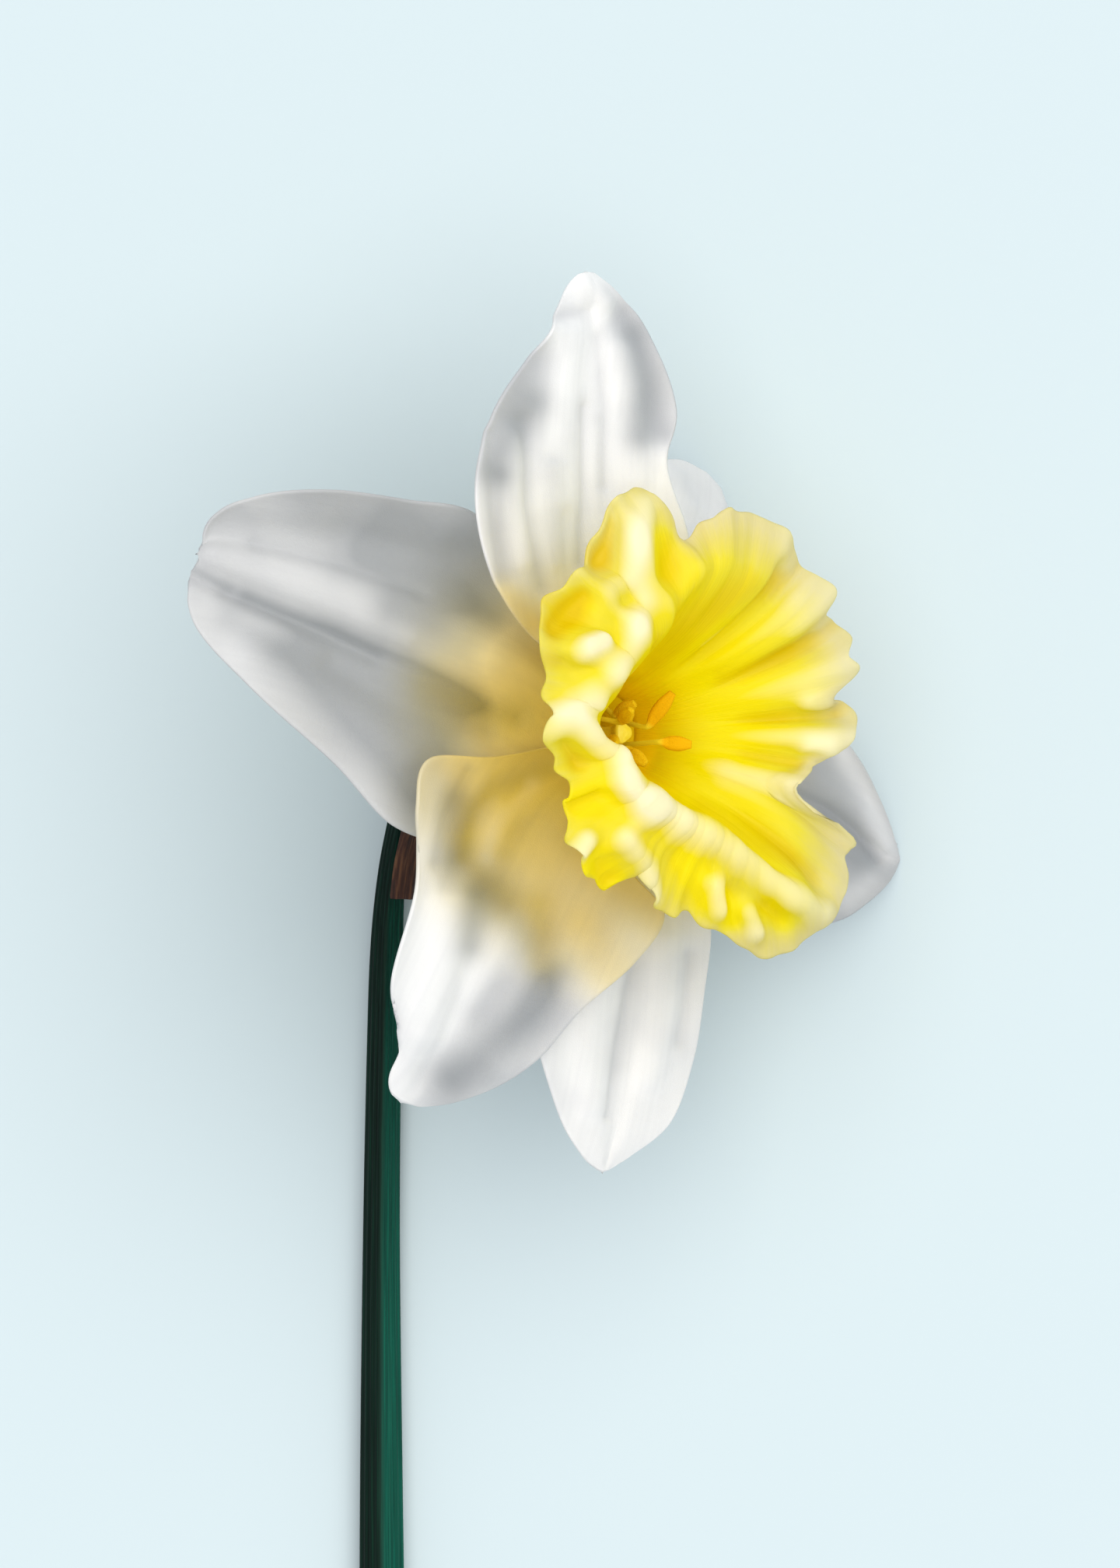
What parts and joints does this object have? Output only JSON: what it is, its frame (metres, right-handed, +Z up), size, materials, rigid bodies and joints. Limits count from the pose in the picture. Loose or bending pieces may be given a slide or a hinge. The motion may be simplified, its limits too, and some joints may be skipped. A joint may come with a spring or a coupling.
{
  "type": "daffodil flower",
  "caption": "Picked large-cupped daffodil lying on its side: white tepals around a frilled yellow cup with its stamens, above a dry spathe and a cut green stem.",
  "frame": {"origin": "on the surface that the flower lies on, under the middle of its outline box", "axes": "+Y from the stem's cut end to the bloom, +X to the side that the bloom leans to, +Z up off the surface"},
  "size_m": [0.0833, 0.2333, 0.0632],
  "materials": {
    "stem": "satin",
    "spathe": "matte",
    "ovary": "satin",
    "tube": "satin",
    "tepal": "matte",
    "corona": "satin",
    "anther": "matte",
    "pistil": "satin"
  },
  "bodies": {
    "root": {"stem": "stem", "spathe": "spathe", "ovary": "ovary", "floral_tube": "tube", "tepal_inner_1": "tepal", "tepal_inner_2": "tepal", "tepal_inner_3": "tepal", "tepal_outer_1": "tepal", "tepal_outer_2": "tepal", "tepal_outer_3": "tepal", "corona": "corona", "stamen_1": "anther", "stamen_2": "anther", "stamen_3": "anther", "stamen_4": "anther", "stamen_5": "anther", "stamen_6": "anther", "pistil": "pistil"}
  },
  "joints": []
}
